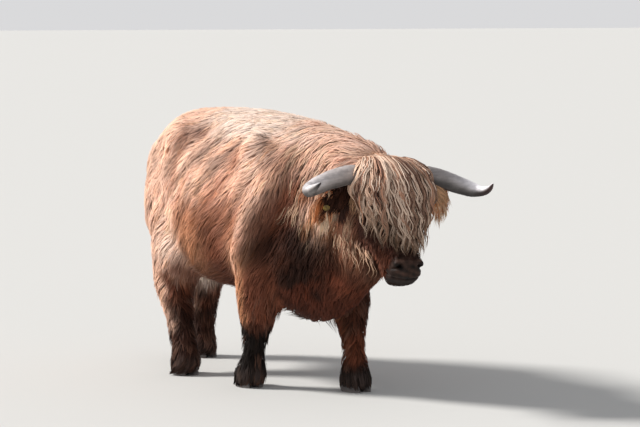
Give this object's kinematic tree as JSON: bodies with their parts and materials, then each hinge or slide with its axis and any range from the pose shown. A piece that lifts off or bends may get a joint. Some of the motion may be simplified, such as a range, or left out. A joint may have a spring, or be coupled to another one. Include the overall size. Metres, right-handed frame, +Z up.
{
  "type": "highland cow",
  "caption": "Life-size standing highland cattle in mid-stride: shaggy coat, long forelock over the eyes, wide horns, drooping ears with a small blank tag.",
  "frame": {"origin": "on the floor, under the middle of the animal's bounding box", "axes": "+Z up, the animal faces -Y, its left side is towards +X"},
  "size_m": [0.8892, 2.158, 1.2507],
  "materials": {
    "coat": "shaggy red-brown coat, paler along the back",
    "dark_coat": "darker, shorter hair of the lower legs",
    "pale_locks": "long wavy straw-coloured locks",
    "muzzle_skin": "dark bare hide of the nose and lips",
    "horn": "grey keratin, smooth, paler above, darker below and at the tips",
    "hoof_horn": "worn grey-black keratin",
    "eye": "wet dark eye",
    "tag_plastic": "dull yellow"
  },
  "bodies": {
    "root": {"claw_fore_left_inner": "hoof_horn", "claw_fore_left_outer": "hoof_horn", "claw_fore_right_inner": "hoof_horn", "claw_fore_right_outer": "hoof_horn", "claw_hind_left_inner": "hoof_horn", "claw_hind_left_outer": "hoof_horn", "claw_hind_right_inner": "hoof_horn", "claw_hind_right_outer": "hoof_horn", "ear_left": "coat", "ear_right": "coat", "ear_tag": "tag_plastic", "eye_left": "eye", "eye_right": "eye", "forelock": "pale_locks", "head": "coat", "horn_left": "horn", "horn_right": "horn", "leg_fore_left": "dark_coat", "leg_fore_right": "dark_coat", "leg_hind_left": "dark_coat", "leg_hind_right": "dark_coat", "muzzle": "muzzle_skin", "neck": "coat", "tail": "coat", "tail_switch": "pale_locks", "trunk": "coat"}
  },
  "joints": []
}
